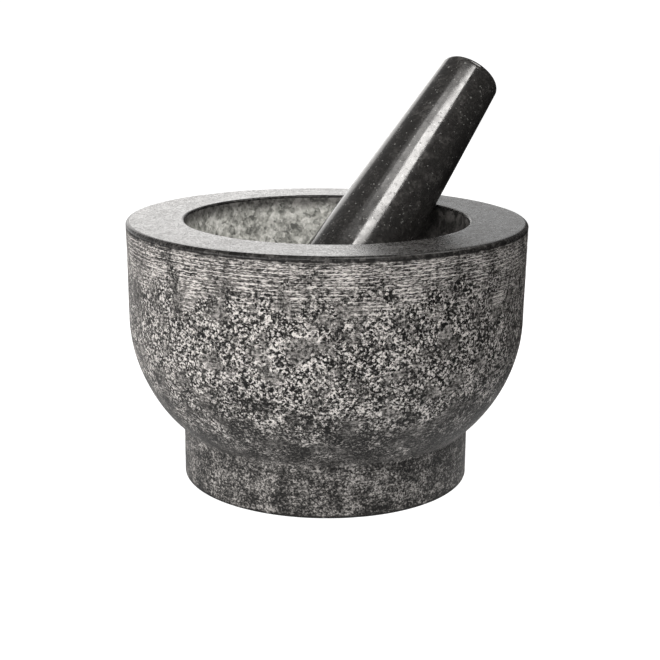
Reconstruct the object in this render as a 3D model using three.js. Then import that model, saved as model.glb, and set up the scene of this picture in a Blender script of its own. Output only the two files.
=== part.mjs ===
// Granite mortar and pestle: a footed, lathe-turned mortar with the pestle leaning in its bowl.
// Millimetres, +Z up. The origin is on the mortar's axis, at the centre of the foot's underside.

import * as THREE from 'three';

// ---- Mortar ----
const MORTAR_HEIGHT = 100;
const RIM_RADIUS = 76; // outside of the wall just under the rim
const RIM_ROUND = 1.5; // rounding of the rim's outer edge
const LIP_ROUND = 1; // rounding of the mouth's edge
const MOUTH_RADIUS = 54; // bowl radius just under the lip
const BELLY_RADIUS = 75.5; // outside radius where the straight wall becomes the shoulder
const BELLY_HEIGHT = 64;
const SHOULDER_ARC = 58; // radius of the arc that carries the wall in to the foot
const FOOT_RADIUS = 55.4;
const FOOT_CHAMFER = 0.6;
const CORNER_ROUND = 2; // concave rounding where the shoulder meets the foot
const BOWL_DEPTH = 70; // rim to the lowest point of the bowl
const BOWL_ARC = 52.5; // radius of the bowl's spherical bottom

// ---- Pestle ----
const PESTLE_LENGTH = 158;
const GRIND_RADIUS = 20.3; // round grinding end
const GRIP_RADIUS = 12.7; // at the top of the taper
const CROWN_RISE = 5.3; // domed top, measured from the top of the taper
const CROWN_ROUND = 2.7; // rounding between the taper and the dome

// ---- Resting place of the pestle ----
const LEAN_BEARING = 43.4; // degrees from +X towards +Y, the side that the pestle leans to
const LEAN_SLOPE = 45.9; // degrees between the pestle's axis and the horizontal
const GAP = 0.3; // clearance where the pestle rests on the lip and in the bowl

// ---- Colours and finishes ----
const MORTAR_COLOUR = 0x77757a;
const MORTAR_ROUGHNESS = 0.8;
const PESTLE_COLOUR = 0x2b2a2c;
const PESTLE_ROUGHNESS = 0.25;

// ---- Facets: sides of each turned piece, and steps along each kind of arc ----
const MORTAR_SIDES = 80;
const PESTLE_SIDES = 48;
const ROUND_STEPS = 4;
const SHOULDER_STEPS = 10;
const BOWL_STEPS = 16;
const GRIND_STEPS = 12;
const DOME_STEPS = 6;

const RIGHT_ANGLE = Math.PI / 2;
const BOWL_CENTRE = MORTAR_HEIGHT - BOWL_DEPTH + BOWL_ARC; // height of the bowl arc's centre
const TAPER_LENGTH = PESTLE_LENGTH - GRIND_RADIUS - CROWN_RISE; // from the grinding end's centre

// Points of an arc about (x, y), both ends included. Angles run from the radius axis upwards.
function arc(x, y, radius, from, to, steps) {
  return Array.from({ length: steps + 1 }, (_, i) => {
    const angle = from + ((to - from) * i) / steps;
    return new THREE.Vector2(x + radius * Math.cos(angle), y + radius * Math.sin(angle));
  });
}

// Where a line down from (x, y) touches the circle of this radius about (0, 0), as an angle.
function tangentAngle(radius, x, y) {
  return Math.atan2(y, x) - Math.acos(radius / Math.hypot(x, y));
}

// The outline is (radius, height), turned about the height axis, which ends up along +Z.
function turned(outline, sides) {
  const geometry = new THREE.LatheGeometry(outline, sides);
  geometry.rotateX(RIGHT_ANGLE);
  return geometry;
}

// Foot: flat underside, chamfered edge and straight side.
function footOutline() {
  return [
    new THREE.Vector2(0, 0),
    new THREE.Vector2(FOOT_RADIUS - FOOT_CHAMFER, 0),
    new THREE.Vector2(FOOT_RADIUS, FOOT_CHAMFER),
  ];
}

// Shoulder: a small concave round out of the foot's side, then one arc up to the straight wall.
function shoulderOutline() {
  const centreX = BELLY_RADIUS - SHOULDER_ARC;
  const cornerX = FOOT_RADIUS + CORNER_ROUND;
  const reach = SHOULDER_ARC + CORNER_ROUND;
  const sweep = Math.acos((cornerX - centreX) / reach);
  const cornerY = BELLY_HEIGHT - reach * Math.sin(sweep);
  return [
    ...arc(cornerX, cornerY, CORNER_ROUND, Math.PI, Math.PI - sweep, ROUND_STEPS),
    ...arc(centreX, BELLY_HEIGHT, SHOULDER_ARC, -sweep, 0, SHOULDER_STEPS).slice(1),
  ];
}

// Rim: rounded outer edge, flat top and rounded lip.
function rimOutline() {
  const edge = [RIM_RADIUS - RIM_ROUND, MORTAR_HEIGHT - RIM_ROUND];
  const lip = [MOUTH_RADIUS + LIP_ROUND, MORTAR_HEIGHT - LIP_ROUND];
  return [
    ...arc(...edge, RIM_ROUND, 0, RIGHT_ANGLE, ROUND_STEPS),
    ...arc(...lip, LIP_ROUND, RIGHT_ANGLE, Math.PI, ROUND_STEPS),
  ];
}

// Bowl: the wall draws in from the lip and runs tangent into the spherical bottom.
function bowlOutline() {
  const lipRise = MORTAR_HEIGHT - LIP_ROUND - BOWL_CENTRE;
  const start = tangentAngle(BOWL_ARC, MOUTH_RADIUS, lipRise);
  const outline = arc(0, BOWL_CENTRE, BOWL_ARC, start, -RIGHT_ANGLE, BOWL_STEPS);
  outline.at(-1).x = 0;
  return outline;
}

function mortarGeometry() {
  const outline = [footOutline(), shoulderOutline(), rimOutline(), bowlOutline()].flat();
  return turned(outline, MORTAR_SIDES);
}

// Half-angle of the pestle's taper, which runs tangent into the round grinding end.
function taperAngle() {
  return tangentAngle(GRIND_RADIUS, GRIP_RADIUS, TAPER_LENGTH);
}

// Crown: the edge rounds over from the taper and runs tangent into the dome, up to the axis.
function crownOutline() {
  const taper = taperAngle();
  const roundX = GRIP_RADIUS - CROWN_ROUND * Math.cos(taper);
  const roundY = TAPER_LENGTH - CROWN_ROUND * Math.sin(taper);
  const rise = TAPER_LENGTH + CROWN_RISE - roundY;
  const domeArc = (roundX ** 2 + rise ** 2 - CROWN_ROUND ** 2) / (2 * (rise - CROWN_ROUND));
  const domeY = roundY + rise - domeArc;
  const meet = Math.atan2(roundY - domeY, roundX);
  const dome = arc(0, domeY, domeArc, meet, RIGHT_ANGLE, DOME_STEPS);
  dome.at(-1).x = 0;
  const edge = arc(roundX, roundY, CROWN_ROUND, taper, meet, ROUND_STEPS);
  return [...edge, ...dome.slice(1)];
}

// The pestle stands along its own +Z here, with the grinding end's centre at its origin.
function pestleGeometry() {
  const end = arc(0, 0, GRIND_RADIUS, -RIGHT_ANGLE, taperAngle(), GRIND_STEPS);
  end[0].x = 0;
  return turned([...end, ...crownOutline()], PESTLE_SIDES);
}

// The pestle leans in an upright plane through the mortar's axis. Its taper touches the lip
// and its grinding end touches the bowl, each with the clearance. Returns the grinding end's
// centre in that plane, as (distance from the axis, height).
function grindingEndCentre() {
  const underside = THREE.MathUtils.degToRad(LEAN_SLOPE) + taperAngle();
  const along = new THREE.Vector2(Math.cos(underside), Math.sin(underside));
  const down = new THREE.Vector2(Math.sin(underside), -Math.cos(underside));
  const lip = new THREE.Vector2(MOUTH_RADIUS + LIP_ROUND, MORTAR_HEIGHT - LIP_ROUND - BOWL_CENTRE);
  const across = lip.dot(down) - (GRIND_RADIUS + LIP_ROUND + GAP);
  const slide = Math.sqrt((BOWL_ARC - GRIND_RADIUS - GAP) ** 2 - across ** 2);
  const centre = down.multiplyScalar(across).addScaledVector(along, -slide);
  return centre.add(new THREE.Vector2(0, BOWL_CENTRE));
}

function stone(name, geometry, colour, roughness) {
  const material = new THREE.MeshStandardMaterial({ color: colour, roughness, metalness: 0 });
  const mesh = new THREE.Mesh(geometry, material);
  mesh.name = name;
  return mesh;
}

function mortar() {
  return stone('mortar', mortarGeometry(), MORTAR_COLOUR, MORTAR_ROUGHNESS);
}

function pestle() {
  const centre = grindingEndCentre();
  const mesh = stone('pestle', pestleGeometry(), PESTLE_COLOUR, PESTLE_ROUGHNESS);
  mesh.position.set(centre.x, 0, centre.y);
  mesh.rotation.y = RIGHT_ANGLE - THREE.MathUtils.degToRad(LEAN_SLOPE);
  const lean = new THREE.Group();
  lean.rotation.z = THREE.MathUtils.degToRad(LEAN_BEARING);
  lean.add(mesh);
  return lean;
}

const assembly = new THREE.Group();
assembly.add(mortar(), pestle());

export default assembly;
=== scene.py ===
"""Looks of the granite mortar and pestle: two dense turned meshes stand for the two CAD nodes.

Metres, +Z up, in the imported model's frame. Outlines, relief and grain sizes are in mm.
"""

import math

import bpy
import numpy as np
from mathutils import Matrix, Vector, noise


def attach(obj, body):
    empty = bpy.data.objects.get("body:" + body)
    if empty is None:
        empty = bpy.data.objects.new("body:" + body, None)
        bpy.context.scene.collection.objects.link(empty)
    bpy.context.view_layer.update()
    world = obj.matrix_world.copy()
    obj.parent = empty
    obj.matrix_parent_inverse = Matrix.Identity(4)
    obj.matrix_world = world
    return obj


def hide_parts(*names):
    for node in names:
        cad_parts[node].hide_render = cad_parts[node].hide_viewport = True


MM = 0.001
QUARTER = math.pi / 2

# ---- Mortar, as in the CAD, in mm ----
HEIGHT = 100
RIM_RADIUS = 76
RIM_ROUND = 1.5
LIP_ROUND = 1
MOUTH_RADIUS = 54
BELLY_RADIUS = 75.5
BELLY_HEIGHT = 64
SHOULDER_ARC = 58
FOOT_RADIUS = 55.4
FOOT_CHAMFER = 0.6
CORNER_ROUND = 2
BOWL_DEPTH = 70
BOWL_ARC = 52.5

# ---- Pestle, as in the CAD, in mm and degrees ----
PESTLE_LENGTH = 158
GRIND_RADIUS = 20.3
GRIP_RADIUS = 12.7
CROWN_RISE = 5.3
CROWN_ROUND = 2.7
LEAN_BEARING = 43.4
LEAN_SLOPE = 45.9
GAP = 0.3

BOWL_CENTRE = HEIGHT - BOWL_DEPTH + BOWL_ARC
TAPER_LENGTH = PESTLE_LENGTH - GRIND_RADIUS - CROWN_RISE

# ---- Mesh grid: steps along the outlines in mm, and columns round the axis ----
FINE = 0.7
COARSE = 2.5
TIGHT = 0.3
MORTAR_COLUMNS = 560
PESTLE_COLUMNS = 256
ARC_STEPS_MIN = 3

# ---- Relief in mm. A lift keeps noise mostly above 0, and a level is where marks begin ----
GROOVE_DEPTH = 0.11
GROOVE_PITCH = 1.1
GROOVE_LENGTH = 60
GROOVE_LIFT = 0.4
GROOVES_DEEPEN = (72, 14)  # from this height, over this distance
GROOVES_LOWER_DOWN = 0.35  # share of the depth that is left there
PIT_DEPTH = 0.16
PIT_SIZE = 1.3
PIT_LEVEL = 0.12
WAVE_DEPTH = 0.12
WAVE_SIZE = 16
WAVE_LIFT = 0.5
FOOT_GROOVES = 0.5  # share of the wall's depth
FOOT_PITS = 0.4  # share of the wall's depth
FOOT_PIT_LEVEL = 0.2
RING_DEPTH = 0.02
RING_PITCH = 1.4
EDGE_DEPTH = 0.08
EDGE_LIFT = 0.6
PECK_DEPTH = 0.35
PECK_SIZE = 2.6
PECK_LEVEL = 0.05
POWDER_DEPTH = 0.08
POWDER_SIZE = 1.1
POLISH_DEPTH = 0.02
POLISH_SIZE = 14
WORN_OVER = (6, 8)  # from this far along the pestle downwards, over this distance
WORN_DEPTH = 0.05
WORN_PIT_DEPTH = 0.12
WORN_PIT_SIZE = 1.6

# ---- Where finishes and painted shade change, in m: none of it at the first value, all of it at the second ----
SMEAR_HEIGHT = (0.080, 0.090)
SHOULDER_HEIGHT = (0.050, 0.022)
FOOT_HEIGHT = (0.0235, 0.0185)
RIM_BAND_HEIGHT = (0.0970, 0.0982)
# Painted shade: a dark line round the foot's lower edge, where it meets the floor
PAINTED_FOOT_SHADE_HEIGHT = (0.0014, 0.0006)
PAINTED_FOOT_SHADE_RADIUS = (0.0538, 0.0546)
UNDER_LIP_HEIGHT = (0.0930, 0.0975)
PESTLE_SHADOW_SIDE = (0.94, 0.34, 0)  # the side of the bowl where the pestle's shadow is painted
PESTLE_SHADOW_DISTANCE = (0.027, 0.040)  # from the axis, towards that side
WORN_DISTANCE = (0.002, -0.006)  # along the pestle, from the grinding end's centre

# ---- Studio. A direction is (azimuth from the front towards +X, elevation) in degrees ----
LIGHT_AIM = 0.09
LIGHT_COLOUR = (1.0, 0.975, 0.95)
LIGHTS = {  # direction, distance, size, radiance, and the direction its long side runs towards
    "key": ((30, 59.5), 1.3, (0.48, 0.27), 20, (44, 51)),
    "band": ((-4, 74.5), 1.3, (0.5, 0.18), 4.6, (10, 71)),
    "overhead": ((-30, 76), 1.3, (0.62, 0.2), 1.1, (10, 71)),
    "right": ((112, 56), 1.3, (0.5, 0.5), 7, None),
    "left": ((-50, 5), 1.2, (1.0, 0.2), 15.5, None),
    "front": ((-15, 30), 1.4, (0.4, 0.3), 14, None),
    "back_left": ((-165, 16), 1.3, (0.8, 0.6), 1.4, None),
}
SKY = ((0.05, 1.0), (0.18, 0.6), (0.3, 0.52), (0.75, 0.165))  # (sine of elevation, radiance)
FLOOR_HALF = 20.0
FLOOR_LEVEL = -0.0001
FLOOR_GLOW = 1.0
CARD_SIDE = 0.4  # both black cards reach this far to the right, where one of them stands
CARD_FRONT = -0.7
CARD_BACK = 1.6
CARD_TOP = 0.55
CARD_LOW = 0.002
LYING_FRONT = -0.3  # the card that lies on the floor narrows towards its back
LYING_NEAR = (0.10, 0.20)

# ---- Camera ----
CAMERA_PLACE = (0.00145, -0.50071, 0.18596)
CAMERA_PITCH = 75.416
CAMERA_ROLL = 0.438
CAMERA_LENS = 72.61
CAMERA_NEAR = 0.01
SENSOR = 36


# ------------------------------------------------------------------ outlines

def line(start, end, step):
    """Points from start to end, both included, about step apart."""
    count = max(1, round(math.dist(start, end) / step))
    return [
        (
            start[0] + (end[0] - start[0]) * i / count,
            start[1] + (end[1] - start[1]) * i / count,
        )
        for i in range(count + 1)
    ]


def arc(centre, radius, start, end, step):
    """Points of an arc, both ends included. Angles run from the radius axis upwards."""
    count = max(ARC_STEPS_MIN, round(abs(end - start) * radius / step))
    angles = [start + (end - start) * i / count for i in range(count + 1)]
    return [
        (centre[0] + radius * math.cos(a), centre[1] + radius * math.sin(a))
        for a in angles
    ]


def tangent_angle(radius, x, y):
    """Where a line down from (x, y) touches the circle of this radius about (0, 0)."""
    return math.atan2(y, x) - math.acos(radius / math.hypot(x, y))


def underside_outline():
    return line((0, 0), (FOOT_RADIUS - FOOT_CHAMFER, 0), COARSE)


def foot_outline():
    """The rounded lower edge, and the foot's side up to the concave corner."""
    centre = (FOOT_RADIUS - FOOT_CHAMFER, FOOT_CHAMFER)
    edge = arc(centre, FOOT_CHAMFER, -QUARTER, 0, TIGHT)
    side = line((FOOT_RADIUS, FOOT_CHAMFER), (FOOT_RADIUS, corner_height()), FINE)
    return edge + side[1:]


def shoulder_sweep():
    across = FOOT_RADIUS + CORNER_ROUND - (BELLY_RADIUS - SHOULDER_ARC)
    return math.acos(across / (SHOULDER_ARC + CORNER_ROUND))


def corner_height():
    return BELLY_HEIGHT - (SHOULDER_ARC + CORNER_ROUND) * math.sin(shoulder_sweep())


def wall_outline():
    """The concave corner over the foot, the shoulder's arc and the wall up to the rim."""
    sweep = shoulder_sweep()
    corner = (FOOT_RADIUS + CORNER_ROUND, corner_height())
    concave = arc(corner, CORNER_ROUND, math.pi, math.pi - sweep, TIGHT)
    centre = (BELLY_RADIUS - SHOULDER_ARC, BELLY_HEIGHT)
    shoulder = arc(centre, SHOULDER_ARC, -sweep, 0, FINE)
    wall = line((BELLY_RADIUS, BELLY_HEIGHT), (RIM_RADIUS, HEIGHT - RIM_ROUND), FINE)
    return concave + shoulder[1:] + wall[1:]


def edge_outline():
    centre = (RIM_RADIUS - RIM_ROUND, HEIGHT - RIM_ROUND)
    return arc(centre, RIM_ROUND, 0, QUARTER, TIGHT)


def flat_outline():
    return line((RIM_RADIUS - RIM_ROUND, HEIGHT), (MOUTH_RADIUS + LIP_ROUND, HEIGHT), FINE)


def lip_outline():
    centre = (MOUTH_RADIUS + LIP_ROUND, HEIGHT - LIP_ROUND)
    return arc(centre, LIP_ROUND, QUARTER, math.pi, TIGHT)


def bowl_outline():
    """The wall draws in from the lip and runs tangent into the spherical bottom."""
    top = (MOUTH_RADIUS, HEIGHT - LIP_ROUND)
    start = tangent_angle(BOWL_ARC, top[0], top[1] - BOWL_CENTRE)
    sphere = arc((0, BOWL_CENTRE), BOWL_ARC, start, -QUARTER, FINE)
    return line(top, sphere[0], FINE)[:-1] + sphere


def mortar_zones():
    """(zone, outline) in order, from the middle of the underside to the middle of the bowl."""
    return [
        ("underside", underside_outline()),
        ("foot", foot_outline()),
        ("wall", wall_outline()),
        ("edge", edge_outline()),
        ("flat", flat_outline()),
        ("lip", lip_outline()),
        ("bowl", bowl_outline()),
    ]


def crown_outline(taper):
    """The edge rounds over from the taper and runs tangent into the dome, up to the axis."""
    edge = (
        GRIP_RADIUS - CROWN_ROUND * math.cos(taper),
        TAPER_LENGTH - CROWN_ROUND * math.sin(taper),
    )
    rise = TAPER_LENGTH + CROWN_RISE - edge[1]
    dome = (edge[0] ** 2 + rise**2 - CROWN_ROUND**2) / (2 * (rise - CROWN_ROUND))
    centre = edge[1] + rise - dome
    meet = math.atan2(edge[1] - centre, edge[0])
    rounded = arc(edge, CROWN_ROUND, taper, meet, TIGHT)
    return rounded + arc((0, centre), dome, meet, QUARTER, FINE)[1:]


def pestle_zones():
    """(zone, outline) from the grinding end's lowest point to the crown, along the axis."""
    taper = tangent_angle(GRIND_RADIUS, GRIP_RADIUS, TAPER_LENGTH)
    end = arc((0, 0), GRIND_RADIUS, -QUARTER, taper, FINE)
    shaft = line(end[-1], (GRIP_RADIUS, TAPER_LENGTH), FINE)
    return [("grind", end), ("shaft", shaft), ("crown", crown_outline(taper))]


def grinding_end_centre():
    """The grinding end's centre in the plane of the lean, as in the CAD, in mm."""
    under = math.radians(LEAN_SLOPE) + tangent_angle(GRIND_RADIUS, GRIP_RADIUS, TAPER_LENGTH)
    along = Vector((math.cos(under), math.sin(under)))
    down = Vector((math.sin(under), -math.cos(under)))
    lip = Vector((MOUTH_RADIUS + LIP_ROUND, HEIGHT - LIP_ROUND - BOWL_CENTRE))
    across = lip.dot(down) - (GRIND_RADIUS + LIP_ROUND + GAP)
    slide = math.sqrt((BOWL_ARC - GRIND_RADIUS - GAP) ** 2 - across**2)
    return down * across - along * slide + Vector((0, BOWL_CENTRE))


# ------------------------------------------------------------------ relief

def speckle(point, size):
    """Smooth noise of about -1 to 1 with features of this size in mm."""
    return noise.noise(Vector(point) / size)


def grooves(point):
    """Turning marks: noise drawn out round the axis, so that it changes with height only."""
    around = Vector(point[:2]) / GROOVE_LENGTH
    return noise.noise(Vector((*around, point[2] / GROOVE_PITCH)))


def ring_marks(point):
    """Turning marks on a flat face: the same, but changing with the radius."""
    around = Vector(point[:2]) / GROOVE_LENGTH
    return noise.noise(Vector((*around, math.hypot(point[0], point[1]) / RING_PITCH)))


def wall_depth(point):
    start, span = GROOVES_DEEPEN
    share = min(1, max(GROOVES_LOWER_DOWN, (point[2] - start) / span))
    groove = GROOVE_DEPTH * share * (grooves(point) + GROOVE_LIFT)
    pit = PIT_DEPTH * max(0, speckle(point, PIT_SIZE) - PIT_LEVEL)
    wave = WAVE_DEPTH * (speckle(point, WAVE_SIZE) + WAVE_LIFT)
    return groove + pit + wave


def foot_depth(point):
    groove = FOOT_GROOVES * GROOVE_DEPTH * (grooves(point) + GROOVE_LIFT)
    pit = FOOT_PITS * PIT_DEPTH * max(0, speckle(point, PIT_SIZE) - FOOT_PIT_LEVEL)
    return groove + pit


def flat_depth(point):
    return RING_DEPTH * (ring_marks(point) + 1)


def edge_depth(point):
    return EDGE_DEPTH * (speckle(point, WAVE_SIZE) + EDGE_LIFT)


def bowl_depth(point):
    peck = PECK_DEPTH * max(0, speckle(point, PECK_SIZE) - PECK_LEVEL)
    return peck + POWDER_DEPTH * (speckle(point, POWDER_SIZE) + 1)


def shaft_depth(point):
    return POLISH_DEPTH * (speckle(point, POLISH_SIZE) + 1)


def grind_depth(point):
    start, span = WORN_OVER
    worn = min(1, max(0, (start - point[2]) / span))
    pit = WORN_PIT_DEPTH * max(0, speckle(point, WORN_PIT_SIZE))
    return POLISH_DEPTH + worn * (pit + WORN_DEPTH)


DEPTHS = {
    "underside": foot_depth,
    "foot": foot_depth,
    "wall": wall_depth,
    "edge": edge_depth,
    "flat": flat_depth,
    "lip": edge_depth,
    "bowl": bowl_depth,
    "grind": grind_depth,
    "shaft": shaft_depth,
    "crown": shaft_depth,
}


# ------------------------------------------------------------------ meshes

def join_zones(zones):
    """One outline, with the zone that each of its points belongs to."""
    points, names = [], []
    for name, outline in zones:
        fresh = outline if not points else outline[1:]
        points += fresh
        names += [name] * len(fresh)
    return np.array(points, float), names


def outline_normals(points):
    step = np.gradient(points, axis=0)
    normals = np.stack([step[:, 1], -step[:, 0]], axis=1)
    return normals / np.linalg.norm(normals, axis=1)[:, None]


def ring_points(point, normal, zone, directions):
    """The ring that one outline point makes, sunk by the zone's relief."""
    heights = np.full(len(directions), point[1])
    ring = np.column_stack([point[0] * directions, heights])
    depth = np.array([max(0, DEPTHS[zone](p)) for p in ring])[:, None]
    rises = np.full(len(directions), normal[1])
    return ring - np.column_stack([normal[0] * directions, rises]) * depth


def turned_vertices(points, names, columns):
    """A ring for each outline point between the two poles, then the poles. In m."""
    normals = outline_normals(points)
    angles = np.linspace(0, math.tau, columns, endpoint=False)
    directions = np.stack([np.cos(angles), np.sin(angles)], axis=1)
    rings = [
        ring_points(points[i], normals[i], names[i], directions)
        for i in range(1, len(points) - 1)
    ]
    poles = np.array([[0, 0, points[0][1]], [0, 0, points[-1][1]]])
    return np.concatenate(rings + [poles]) * MM


def turned_faces(rings, columns):
    """Quads between the rings, then the two fans about the poles."""
    low = np.arange(rings - 1)[:, None] * columns
    here = np.arange(columns)[None, :]
    after = (here + 1) % columns
    high = low + columns
    quads = np.stack([low + here, low + after, high + after, high + here], 2)
    first = rings * columns
    top = first - columns
    fans = [(first, (j + 1) % columns, j) for j in range(columns)]
    fans += [(first + 1, top + j, top + (j + 1) % columns) for j in range(columns)]
    return quads.reshape(-1, 4).tolist() + fans


def face_slots(names, columns, slots):
    """Each face's material index. A quad takes the zone of its second ring."""
    rows = [slots[name] for name in [*names[2:-1], names[0], names[-1]]]
    return np.repeat(rows, columns).tolist()


def turned(name, zones, columns, slots):
    """A closed turned mesh with relief. slots maps each zone to a material's index."""
    points, names = join_zones(zones)
    vertices = turned_vertices(points, names, columns)
    mesh = bpy.data.meshes.new(name)
    mesh.from_pydata(vertices.tolist(), [], turned_faces(len(points) - 2, columns))
    indices = face_slots(names, columns, slots)
    mesh.polygons.foreach_set("material_index", indices)
    mesh.polygons.foreach_set("use_smooth", [True] * len(indices))
    mesh.update()
    return placed(name, mesh)


def placed(name, data):
    made = bpy.data.objects.new(name, data)
    bpy.context.scene.collection.objects.link(made)
    return made


# ------------------------------------------------------------------ material nodes

WARM_GREY = (1, 0.955, 0.915)
DRAWN_OUT = (0.7, 0.7, 3.2)  # scale of the smeared grain, which is long round the axis


def tint(level):
    return tuple(level * share for share in WARM_GREY)


def tints(stops):
    return [(position, tint(level)) for position, level in stops]


def set_stops(ramp, stops):
    """Fills a colour ramp. Each stop is (position, grey) or (position, (r, g, b))."""
    while len(ramp.elements) < len(stops):
        ramp.elements.new(1)
    for element, (position, shade) in zip(ramp.elements, stops):
        rgb = shade if isinstance(shade, tuple) else (shade,) * 3
        element.position = position
        element.color = (*rgb, 1)


class Stone:
    """A material with a Principled shader and short helpers for its nodes.

    Cells take their ragged edges from ragged: the size and the push of the noise, in mm.
    """

    def __init__(self, name, ragged=None):
        self.material = bpy.data.materials.new(name)
        self.material.use_nodes = True
        self.tree = self.material.node_tree
        self.shader = self.tree.nodes["Principled BSDF"]
        self.place = self.node("ShaderNodeTexCoord").outputs["Object"]
        self.cell_place = self.warped(*ragged) if ragged else self.place
        self.layers = {}

    def node(self, kind, inputs=None, **settings):
        made = self.tree.nodes.new(kind)
        for key, value in settings.items():
            setattr(made, key, value)
        for key, value in (inputs or {}).items():
            self.put(made.inputs[key], value)
        return made

    def put(self, socket, value):
        if isinstance(value, bpy.types.NodeSocket):
            self.tree.links.new(value, socket)
        else:
            socket.default_value = value

    def math(self, operation, a, b=0.5, c=0.5):
        inputs = {0: a, 1: b, 2: c}
        return self.node("ShaderNodeMath", inputs, operation=operation).outputs[0]

    def vector(self, operation, inputs, output=0):
        return self.node("ShaderNodeVectorMath", inputs, operation=operation).outputs[output]

    def stretched(self, scale):
        return self.node("ShaderNodeMapping", {0: self.place, 3: scale}).outputs[0]

    def warped(self, size, amount):
        """The place, pushed about by noise of this size and amount in mm."""
        values = {"Vector": self.place, "Scale": 1 / (size * MM), "Detail": 2}
        colour = self.node("ShaderNodeTexNoise", values).outputs[1]
        centred = self.vector("SUBTRACT", {0: colour, 1: (0.5, 0.5, 0.5)})
        push = self.vector("SCALE", {0: centred, "Scale": amount * MM})
        return self.vector("ADD", {0: self.place, 1: push})

    def height(self):
        return self.node("ShaderNodeSeparateXYZ", {0: self.place}).outputs[2]

    def radius(self):
        return self.vector("LENGTH", {0: self.stretched((1, 1, 0))}, "Value")

    def towards(self, axis):
        """The place's distance from the origin along this unit vector."""
        return self.vector("DOT_PRODUCT", {0: self.place, 1: axis}, "Value")

    def noise(self, size, detail, rough, place=None):
        """Noise with features of this size in mm."""
        values = {
            "Vector": place or self.place,
            "Scale": 1 / (size * MM),
            "Detail": detail,
            "Roughness": rough,
        }
        return self.node("ShaderNodeTexNoise", values).outputs[0]

    def cells(self, size, place=None):
        """A random value of 0 to 1 for each mineral grain of this size in mm."""
        values = {"Vector": place or self.cell_place, "Scale": 1 / (size * MM)}
        colour = self.node("ShaderNodeTexVoronoi", values).outputs["Color"]
        return self.node("ShaderNodeSeparateColor", {0: colour}).outputs[0]

    def lines(self, pitch, length, detail=2, rough=0.6):
        """Noise drawn out round the axis: pitch apart in height, and length long. In mm."""
        return self.noise(1, detail, rough, self.stretched((1 / length, 1 / length, 1 / pitch)))

    def drawn_noise(self, size, detail, rough):
        return self.noise(size, detail, rough, self.stretched(DRAWN_OUT))

    def drawn_cells(self, size):
        return self.cells(size, self.stretched(DRAWN_OUT))

    def layer(self, kind, *shape):
        """A texture made by this method of Stone, shared when it is asked for again."""
        if (kind, shape) not in self.layers:
            self.layers[kind, shape] = kind(self, *shape)
        return self.layers[kind, shape]

    def grain(self, recipe):
        """The weighted sum of a recipe's layers, shifted so that middling layers give 0.5."""
        total = 0.5 - 0.5 * sum(weight for weight, *_ in recipe)
        for weight, kind, *shape in recipe:
            total = self.math("MULTIPLY_ADD", self.layer(kind, *shape), weight, total)
        return total

    def mapped(self, value, limits, results):
        """The value carried from between the limits to between the results, and clamped."""
        inputs = {0: value, 1: limits[0], 2: limits[1], 3: results[0], 4: results[1]}
        return self.node("ShaderNodeMapRange", inputs).outputs[0]

    def faded(self, value, limits):
        """0 where the value is at the first limit or past it, 1 at the second or past it."""
        return self.mapped(value, limits, (0.0, 1.0))

    def torn(self, value, layer, amount):
        """The value, pushed about by noise so that what depends on it looks torn. In m."""
        push = self.math("SUBTRACT", layer, 0.5)
        return self.math("MULTIPLY_ADD", push, amount, value)

    def mix(self, factor, a, b):
        return self.node("ShaderNodeMix", {0: factor, 2: a, 3: b}).outputs[0]

    def blend(self, factor, a, b):
        """The same as mix, for colours."""
        inputs = {0: factor, 6: a, 7: b}
        return self.node("ShaderNodeMix", inputs, data_type="RGBA").outputs[2]

    def ramp(self, value, stops):
        """The value's colour, with stops as set_stops takes them."""
        made = self.node("ShaderNodeValToRGB", {0: value})
        set_stops(made.color_ramp, stops)
        return made.outputs[0]

    def bump(self, height, distance, normal=None):
        values = {"Height": height, "Distance": distance * MM, "Strength": 1.0}
        if normal is not None:
            values["Normal"] = normal
        return self.node("ShaderNodeBump", values).outputs[0]

    def finish(self, colour, roughness, normal):
        self.put(self.shader.inputs["Base Color"], colour)
        self.put(self.shader.inputs["Roughness"], roughness)
        self.put(self.shader.inputs["Normal"], normal)
        return self.material


# A recipe's layer is (weight, kind, size in mm), then detail and roughness for noise.
# Lines have their pitch and length in place of the size. A shade is (grain value, grey).

# ------------------------------------------------------------------ outside of the mortar

WALL_RAGGED = (0.6, 0.4)
MOTTLE = (Stone.noise, 8, 2, 0.5)
WALL_CRYSTALS = (
    (0.95, Stone.cells, 0.75),
    (0.60, Stone.cells, 0.38),
    (0.95, Stone.noise, 1.5, 2, 0.6),
    (0.60, Stone.noise, 3.2, 2, 0.5),
    (0.50, *MOTTLE),
)
SHOULDER_CRYSTALS = (
    (0.6, Stone.cells, 0.42),
    (1.0, Stone.noise, 0.9, 2, 0.6),
    (0.5, *MOTTLE),
)
CALM_GRAIN = ((0.55, Stone.lines, 0.45, 7), (0.8, Stone.noise, 1.3, 2, 0.6))
SMEAR_GRAIN = (
    (0.75, Stone.drawn_cells, 0.8),
    (1.30, Stone.drawn_noise, 0.8, 3, 0.7),
    (0.60, Stone.lines, 0.34, 9),
    (0.60, *MOTTLE),
)
FOOT_GRAIN = (
    (0.6, Stone.cells, 0.5),
    (1.0, Stone.noise, 1.2, 2, 0.65),
    (1.2, Stone.noise, 7, 3, 0.55),
    (0.6, Stone.lines, 0.5, 9),
)
WALL_SHADES = ((0.24, 0.003), (0.40, 0.023), (0.53, 0.090), (0.70, 0.220), (0.95, 0.54))
FOOT_SHADES = ((0.25, 0.007), (0.45, 0.037), (0.65, 0.105), (0.9, 0.30))
TURNED_ROUGHNESS = ((0.1, 0.5), (0.9, 0.8))
TURNED_BUMP = 0.13
TURNED_SPECULAR = 0.12
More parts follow.
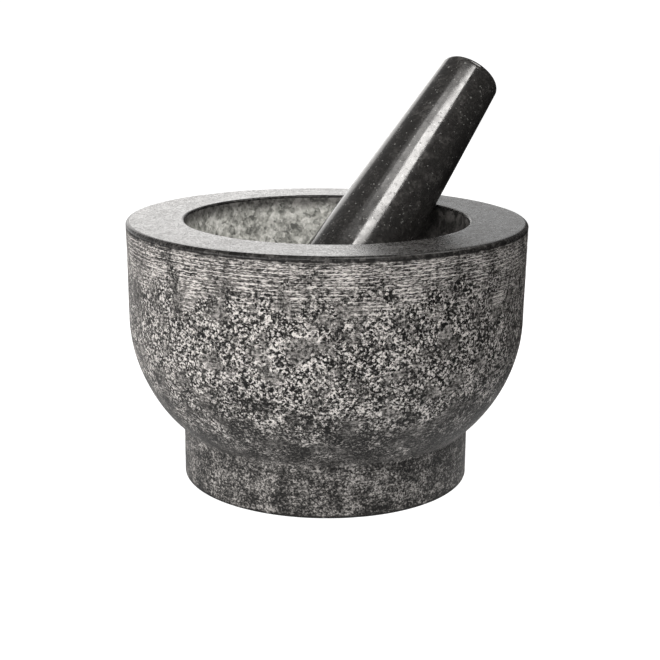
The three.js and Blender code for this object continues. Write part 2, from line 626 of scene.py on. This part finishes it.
# Near-black grey for the band under the rim and for the painted shade line round the foot
RIM_BAND_AND_FOOT_SHADE_GREY = 0.010
TEAR = (Stone.noise, 3, 3, 0.6)
MOTTLE_TEAR = 0.04  # how far the fades on the wall are torn, in m
FOOT_TEAR = 0.014
EDGE_TEAR = 0.003
CALM_PATCHES = (Stone.noise, 9, 3, 0.55)
CALM_LIMITS = (0.50, 0.60)
CALM_SHARE = (0.0, 0.66)
CALM_LIFT = 0.06
# Painted shade: lowers the grain on the downward-facing shoulder
SHOULDER_PAINTED_SHADE = -0.16
SMEAR_LIFT = 0.065
SMEAR_SHARE = (0.06, 0.80)  # on the wall, and near the rim
MARK_STRENGTH = (0.06, 0.34)  # on the wall, and near the rim
MARK_PITCH = 1.35
MARK_WANDER = (Stone.lines, 10 / 3, 250, 1, 0.5)
MARK_WANDER_TURNS = 8.0
MARK_PATCHES = (Stone.lines, 2, 12.5)
MARK_PATCH_LIMITS = (0.25, 0.52)
MARK_CREST = (2.0, -1.0)  # scale and shift of the sine, of which the part above 0 is kept


def tool_marks(stone):
    """1 along the crest of each turned line and 0 between them, with gaps."""
    wander = stone.math("MULTIPLY", stone.layer(*MARK_WANDER), MARK_WANDER_TURNS)
    phase = stone.math("MULTIPLY_ADD", stone.height(), math.tau / (MARK_PITCH * MM), wander)
    wave = stone.math("MULTIPLY_ADD", stone.math("SINE", phase), *MARK_CREST)
    crest = stone.math("MAXIMUM", wave, 0.0)
    patches = stone.faded(stone.layer(*MARK_PATCHES), MARK_PATCH_LIMITS)
    return stone.math("MULTIPLY", crest, patches)


def wall_grain(stone):
    """Salt and pepper with calm patches, finer and darker on the shoulder, and smeared near the
    rim. The darker shoulder is painted shade on its downward-facing curve.
    """
    torn = stone.torn(stone.height(), stone.layer(*MOTTLE), MOTTLE_TEAR)
    under = stone.faded(torn, SHOULDER_HEIGHT)
    crystals = stone.mix(under, stone.grain(WALL_CRYSTALS), stone.grain(SHOULDER_CRYSTALS))
    calm = stone.mapped(stone.layer(*CALM_PATCHES), CALM_LIMITS, CALM_SHARE)
    smooth = stone.math("ADD", stone.grain(CALM_GRAIN), CALM_LIFT)
    grain = stone.mix(calm, crystals, smooth)
    # Painted shade on the shoulder, which faces down
    grain = stone.math("MULTIPLY_ADD", under, SHOULDER_PAINTED_SHADE, grain)
    smear = stone.math("ADD", stone.grain(SMEAR_GRAIN), SMEAR_LIFT)
    grain = stone.mix(stone.mapped(torn, SMEAR_HEIGHT, SMEAR_SHARE), grain, smear)
    strength = stone.mapped(torn, SMEAR_HEIGHT, MARK_STRENGTH)
    return stone.math("MULTIPLY_ADD", tool_marks(stone), strength, grain)


def rim_band_and_foot_shade(stone):
    """The dark band under the rim, and a painted shade line round the foot's lower edge, where
    it meets the floor.
    """
    torn = stone.torn(stone.height(), stone.layer(*TEAR), EDGE_TEAR)
    outer = stone.faded(stone.radius(), PAINTED_FOOT_SHADE_RADIUS)
    painted_foot_shade = stone.math("MULTIPLY", stone.faded(torn, PAINTED_FOOT_SHADE_HEIGHT), outer)
    return stone.math("MAXIMUM", stone.faded(torn, RIM_BAND_HEIGHT), painted_foot_shade)


def wall_material():
    """Turned and unpolished outside, from the rim down to the finer and darker foot."""
    stone = Stone("granite_turned", WALL_RAGGED)
    wall, foot = wall_grain(stone), stone.grain(FOOT_GRAIN)
    torn = stone.torn(stone.height(), stone.layer(*TEAR), FOOT_TEAR)
    low = stone.faded(torn, FOOT_HEIGHT)
    wall_colour = stone.ramp(wall, tints(WALL_SHADES))
    colour = stone.blend(low, wall_colour, stone.ramp(foot, tints(FOOT_SHADES)))
    # Darkens the band under the rim and paints shade along the foot's lower edge
    colour = stone.blend(rim_band_and_foot_shade(stone), colour, (*tint(RIM_BAND_AND_FOOT_SHADE_GREY), 1))
    value = stone.mix(low, wall, foot)
    rough = stone.ramp(value, TURNED_ROUGHNESS)
    stone.shader.inputs["Specular IOR Level"].default_value = TURNED_SPECULAR
    return stone.finish(colour, rough, stone.bump(value, TURNED_BUMP))


# ------------------------------------------------------------------ rim and lip

RIM_RAGGED = (0.5, 0.4)
RIM_FINE = ((0.8, Stone.cells, 0.6), (1.0, Stone.noise, 0.8, 2, 0.6))
RIM_GRAIN = (*RIM_FINE, (1.0, Stone.noise, 6, 3, 0.6))
RIM_SHADES = ((0.2, 0.012), (0.6, 0.03), (0.9, 0.07))
RIM_ROUGHNESS = ((0.2, 0.12), (0.8, 0.34))
RIM_IOR = 1.6
RIM_BUMP = 0.05
EDGE_RAGGED = (0.6, 0.5)
EDGE_GRAIN = ((0.5, Stone.cells, 0.8), (1.0, Stone.noise, 4, 3, 0.6))
EDGE_SHADES = ((0.3, 0.008), (0.6, 0.02), (0.9, 0.07))
EDGE_ROUGHNESS = ((0.1, 0.2), (0.9, 0.34))
EDGE_SPECULAR = 0.16
EDGE_BUMP = 0.01


def honed_material():
    """The flat of the rim: dark stone, polished enough to mirror what lies behind it."""
    stone = Stone("granite_rim", RIM_RAGGED)
    value = stone.grain(RIM_GRAIN)
    colour = stone.ramp(value, tints(RIM_SHADES))
    rough = stone.ramp(value, RIM_ROUGHNESS)
    stone.shader.inputs["IOR"].default_value = RIM_IOR
    return stone.finish(colour, rough, stone.bump(stone.grain(RIM_FINE), RIM_BUMP))


def polished_material():
    """The polished rounds of the rim and the lip: near black."""
    stone = Stone("granite_polished_edge", EDGE_RAGGED)
    value = stone.grain(EDGE_GRAIN)
    colour = stone.ramp(value, tints(EDGE_SHADES))
    rough = stone.ramp(value, EDGE_ROUGHNESS)
    stone.shader.inputs["Specular IOR Level"].default_value = EDGE_SPECULAR
    return stone.finish(colour, rough, stone.bump(value, EDGE_BUMP))


# ------------------------------------------------------------------ bowl

BOWL_RAGGED = (1.4, 1.2)
BOWL_CLOUD = (Stone.noise, 4.5, 3, 0.6)
BOWL_GRAIN = ((0.35, Stone.cells, 2.2), (0.25, Stone.cells, 0.9), (1.1, *BOWL_CLOUD))
BOWL_COLOURS = (  # the pale greens of pecked stone, as (grain value, colour)
    (0.20, (0.14, 0.142, 0.132)),
    (0.42, (0.38, 0.382, 0.355)),
    (0.60, (0.62, 0.62, 0.585)),
    (0.80, (0.88, 0.875, 0.84)),
)
# Near black: for the darker band under the lip and for the painted shadow of the pestle
LIP_BAND_AND_SHADOW_SHADES = ((0.3, 0.015), (0.9, 0.12))
BOWL_ROUGHNESS = ((0.2, 0.6), (0.9, 0.85))
BOWL_SPECULAR = 0.22
BOWL_BUMP = 0.25
PESTLE_SHADOW_TEAR = 0.02
LIP_TEAR = 0.006
LIP_SHARE = (0.0, 0.9)


def bowl_material():
    """Pecked and dusty: pale, slightly green grains, with a darker band under the lip and a
    painted shadow of the pestle on the bowl's right side.
    """
    stone = Stone("granite_pecked", BOWL_RAGGED)
    cloud = stone.layer(*BOWL_CLOUD)
    value = stone.grain(BOWL_GRAIN)
    # Painted shadow of the pestle on the bowl's right side
    pestle_shadow = stone.torn(stone.towards(PESTLE_SHADOW_SIDE), cloud, PESTLE_SHADOW_TEAR)
    under_lip = stone.torn(stone.height(), cloud, LIP_TEAR)
    lip_side = stone.mapped(under_lip, UNDER_LIP_HEIGHT, LIP_SHARE)
    shade = stone.math("MAXIMUM", lip_side, stone.faded(pestle_shadow, PESTLE_SHADOW_DISTANCE))
    dark = stone.ramp(value, tints(LIP_BAND_AND_SHADOW_SHADES))
    colour = stone.blend(shade, stone.ramp(value, BOWL_COLOURS), dark)
    rough = stone.ramp(value, BOWL_ROUGHNESS)
    stone.shader.inputs["Specular IOR Level"].default_value = BOWL_SPECULAR
    return stone.finish(colour, rough, stone.bump(value, BOWL_BUMP))


# ------------------------------------------------------------------ pestle

SHAFT_RAGGED = (0.7, 0.6)
SHAFT_GRAIN = ((0.35, Stone.cells, 0.8), (1.3, Stone.noise, 5, 4, 0.65))
SHAFT_SHADES = ((0.35, 0.015), (0.6, 0.023), (0.9, 0.06))
CLUMPS = (Stone.noise, 6, 2, 0.6)
CLUMP_LIMITS = (0.42, 0.62)
SPECK_SIZE = 0.7
SPECKS = ((0.93, 0.0), (0.95, 1.0))
SPECK_ROUGHNESS = 0.1
SPECK_FACETS = (Stone.noise, 0.7, 1, 0.5)
SPECK_BUMP = 0.05
FLECK_SIZE = 0.5
FLECKS = ((0.985, 0.0), (0.99, 0.8))
FLECK_COLOUR = (0.16, 0.16, 0.152, 1)
POLISH = (Stone.noise, 4, 2, 0.5)
POLISH_LIMITS = (0.3, 0.7)
POLISH_ROUGHNESS = (0.09, 0.21)
POLISH_GRAIN = 0.3  # how much of the grain shows in the polish
POLISH_BUMP = 0.004
SHAFT_IOR = 1.52
WORN_SHADES = ((0.2, 0.05), (0.55, 0.15), (0.85, 0.34))
WORN_CLOUD = (Stone.noise, 5, 3, 0.6)
WORN_TEAR = 0.01
WORN_ROUGHNESS = (0.14, 0.72)
WORN_BUMP = 0.03


def shaft_colour(stone):
    """Near black, with faint clouds and a few pale flecks."""
    base = stone.ramp(stone.grain(SHAFT_GRAIN), tints(SHAFT_SHADES))
    flecks = stone.ramp(stone.cells(FLECK_SIZE), FLECKS)
    return stone.blend(flecks, base, FLECK_COLOUR)


def shaft_material():
    """Polished, with a sheen that varies, and clumps of small facets that catch the light."""
    stone = Stone("granite_polished", SHAFT_RAGGED)
    clumps = stone.faded(stone.layer(*CLUMPS), CLUMP_LIMITS)
    specks = stone.math("MULTIPLY", stone.ramp(stone.cells(SPECK_SIZE), SPECKS), clumps)
    cloud = stone.layer(*POLISH)
    smooth = stone.mapped(cloud, POLISH_LIMITS, POLISH_ROUGHNESS)
    rough = stone.math("MULTIPLY_ADD", specks, SPECK_ROUGHNESS, smooth)
    facets = stone.math("MULTIPLY", specks, stone.layer(*SPECK_FACETS))
    sheen = stone.mix(POLISH_GRAIN, cloud, stone.grain(SHAFT_GRAIN))
    normal = stone.bump(facets, SPECK_BUMP, stone.bump(sheen, POLISH_BUMP))
    stone.shader.inputs["IOR"].default_value = SHAFT_IOR
    return stone.finish(shaft_colour(stone), rough, normal)


def along_pestle(stone):
    """Distance along the pestle from its grinding end's centre, towards the crown."""
    bearing, slope = math.radians(LEAN_BEARING), math.radians(LEAN_SLOPE)
    level = math.cos(slope)
    axis = (level * math.cos(bearing), level * math.sin(bearing), math.sin(slope))
    centre = grinding_end_centre() * MM
    start = centre.x * level + centre.y * math.sin(slope)
    return stone.math("SUBTRACT", stone.towards(axis), start)


def grind_material():
    """The grinding end, worn dull and paler than the shaft."""
    stone = Stone("granite_worn", SHAFT_RAGGED)
    torn = stone.torn(along_pestle(stone), stone.layer(*WORN_CLOUD), WORN_TEAR)
    value = stone.grain(SHAFT_GRAIN)
    pale = stone.ramp(value, tints(WORN_SHADES))
    colour = stone.blend(stone.faded(torn, WORN_DISTANCE), shaft_colour(stone), pale)
    rough = stone.mapped(torn, WORN_DISTANCE, WORN_ROUGHNESS)
    return stone.finish(colour, rough, stone.bump(value, WORN_BUMP))


# ------------------------------------------------------------------ the two pieces

def make_mortar():
    slots = {"wall": 0, "foot": 0, "underside": 0, "flat": 1, "edge": 2, "lip": 2, "bowl": 3}
    piece = turned("stone_mortar", mortar_zones(), MORTAR_COLUMNS, slots)
    for material in (wall_material, honed_material, polished_material, bowl_material):
        piece.data.materials.append(material())
    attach(piece, "mortar")
    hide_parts("mortar")


def make_pestle():
    slots = {"shaft": 0, "crown": 0, "grind": 1}
    piece = turned("stone_pestle", pestle_zones(), PESTLE_COLUMNS, slots)
    for material in (shaft_material, grind_material):
        piece.data.materials.append(material())
    centre = grinding_end_centre() * MM
    bearing = Matrix.Rotation(math.radians(LEAN_BEARING), 4, "Z")
    tilt = Matrix.Rotation(QUARTER - math.radians(LEAN_SLOPE), 4, "Y")
    piece.data.transform(bearing @ Matrix.Translation((centre.x, 0, centre.y)) @ tilt)
    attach(piece, "pestle")
    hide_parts("pestle")


# ------------------------------------------------------------------ stage

FLOOR_HAZE = (Stone.noise, 180, 2, 0.5)
FLOOR_SHADES = ((0.3, 0.23), (0.7, 0.25))
FLOOR_ROUGHNESS = 0.9
FLOOR_SPECULAR = 0.1
CARD_NAP = (Stone.noise, 2, 2, 0.5)
CARD_SHADES = ((0, 0.004), (1, 0.01))


def make_floor():
    """A pale floor that glows evenly, so that it stays as bright as the sky's horizon."""
    mesh = bpy.data.meshes.new("floor")
    turns = ((-1, -1), (1, -1), (1, 1), (-1, 1))
    corners = [(x * FLOOR_HALF, y * FLOOR_HALF, FLOOR_LEVEL) for x, y in turns]
    mesh.from_pydata(corners, [], [(0, 1, 2, 3)])
    floor = placed("floor", mesh)
    stone = Stone("pale_floor")
    haze = stone.ramp(stone.layer(*FLOOR_HAZE), FLOOR_SHADES)
    stone.put(stone.shader.inputs["Base Color"], haze)
    stone.shader.inputs["Roughness"].default_value = FLOOR_ROUGHNESS
    stone.shader.inputs["Specular IOR Level"].default_value = FLOOR_SPECULAR
    stone.shader.inputs["Emission Color"].default_value = (1, 1, 1, 1)
    stone.shader.inputs["Emission Strength"].default_value = FLOOR_GLOW
    mesh.materials.append(stone.material)


def make_cards():
    """Black cards to the right, out of the camera's sight, that keep that side dim."""
    mesh = bpy.data.meshes.new("flag")
    standing = [
        (CARD_SIDE, CARD_FRONT, CARD_LOW),
        (CARD_SIDE, CARD_BACK, CARD_LOW),
        (CARD_SIDE, CARD_BACK, CARD_TOP),
        (CARD_SIDE, CARD_FRONT, CARD_TOP),
    ]
    lying = [
        (LYING_NEAR[0], LYING_FRONT, CARD_LOW),
        (CARD_SIDE, LYING_FRONT, CARD_LOW),
        (CARD_SIDE, CARD_BACK, CARD_LOW),
        (LYING_NEAR[1], CARD_BACK, CARD_LOW),
    ]
    mesh.from_pydata(standing + lying, [], [(0, 1, 2, 3), (4, 5, 6, 7)])
    cards = placed("flag", mesh)
    cards.visible_camera = False
    stone = Stone("black_card")
    nap = stone.ramp(stone.layer(*CARD_NAP), CARD_SHADES)
    stone.put(stone.shader.inputs["Base Color"], nap)
    mesh.materials.append(stone.material)


def heading(azimuth, elevation):
    """The unit vector in this direction."""
    turn, climb = math.radians(azimuth), math.radians(elevation)
    across = math.cos(climb)
    return Vector((math.sin(turn) * across, -math.cos(turn) * across, math.sin(climb)))


def softbox(name, direction, distance, size, radiance, along):
    """An area light that faces the mortar, as in LIGHTS."""
    data = bpy.data.lights.new(name, "AREA")
    data.shape = "RECTANGLE"
    data.size, data.size_y = size
    data.color = LIGHT_COLOUR
    data.energy = radiance * size[0] * size[1] * math.pi
    back = heading(*direction)
    side = heading(*along) - back if along else Vector((0, 0, 1)).cross(back)
    side = (side - back * side.dot(back)).normalized()
    turn = Matrix((side, back.cross(side), back)).transposed().to_4x4()
    aim = Vector((0, 0, LIGHT_AIM))
    light = placed(name, data)
    light.matrix_world = Matrix.Translation(aim + back * distance) @ turn
    light.visible_camera = False


def make_lights():
    for name, settings in LIGHTS.items():
        softbox(name, *settings)


def make_world():
    """A sky that is white at the horizon and dims with the sine of the elevation."""
    world = bpy.data.worlds.new("studio")
    world.use_nodes = True
    tree = world.node_tree
    place = tree.nodes.new("ShaderNodeTexCoord").outputs["Generated"]
    split = tree.nodes.new("ShaderNodeSeparateXYZ")
    ramp = tree.nodes.new("ShaderNodeValToRGB")
    set_stops(ramp.color_ramp, SKY)
    tree.links.new(place, split.inputs[0])
    tree.links.new(split.outputs[2], ramp.inputs[0])
    tree.links.new(ramp.outputs[0], tree.nodes["Background"].inputs[0])
    bpy.context.scene.world = world


def make_camera():
    data = bpy.data.cameras.new("camera")
    data.lens = CAMERA_LENS
    data.sensor_width = SENSOR
    data.clip_start = CAMERA_NEAR
    camera = placed("camera", data)
    pitch = Matrix.Rotation(math.radians(CAMERA_PITCH), 4, "X")
    roll = Matrix.Rotation(math.radians(CAMERA_ROLL), 4, "Z")
    camera.matrix_world = Matrix.Translation(CAMERA_PLACE) @ pitch @ roll
    bpy.context.scene.camera = camera


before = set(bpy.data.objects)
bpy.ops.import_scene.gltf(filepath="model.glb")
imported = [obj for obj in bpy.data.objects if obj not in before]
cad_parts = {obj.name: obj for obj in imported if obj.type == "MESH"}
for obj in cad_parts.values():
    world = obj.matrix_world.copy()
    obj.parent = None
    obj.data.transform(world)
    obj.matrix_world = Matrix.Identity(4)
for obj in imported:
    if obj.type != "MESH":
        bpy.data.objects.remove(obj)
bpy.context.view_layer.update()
make_camera()
make_world()
make_lights()
make_cards()
make_floor()
make_mortar()
make_pestle()
bpy.context.scene.view_settings.view_transform = "Standard"
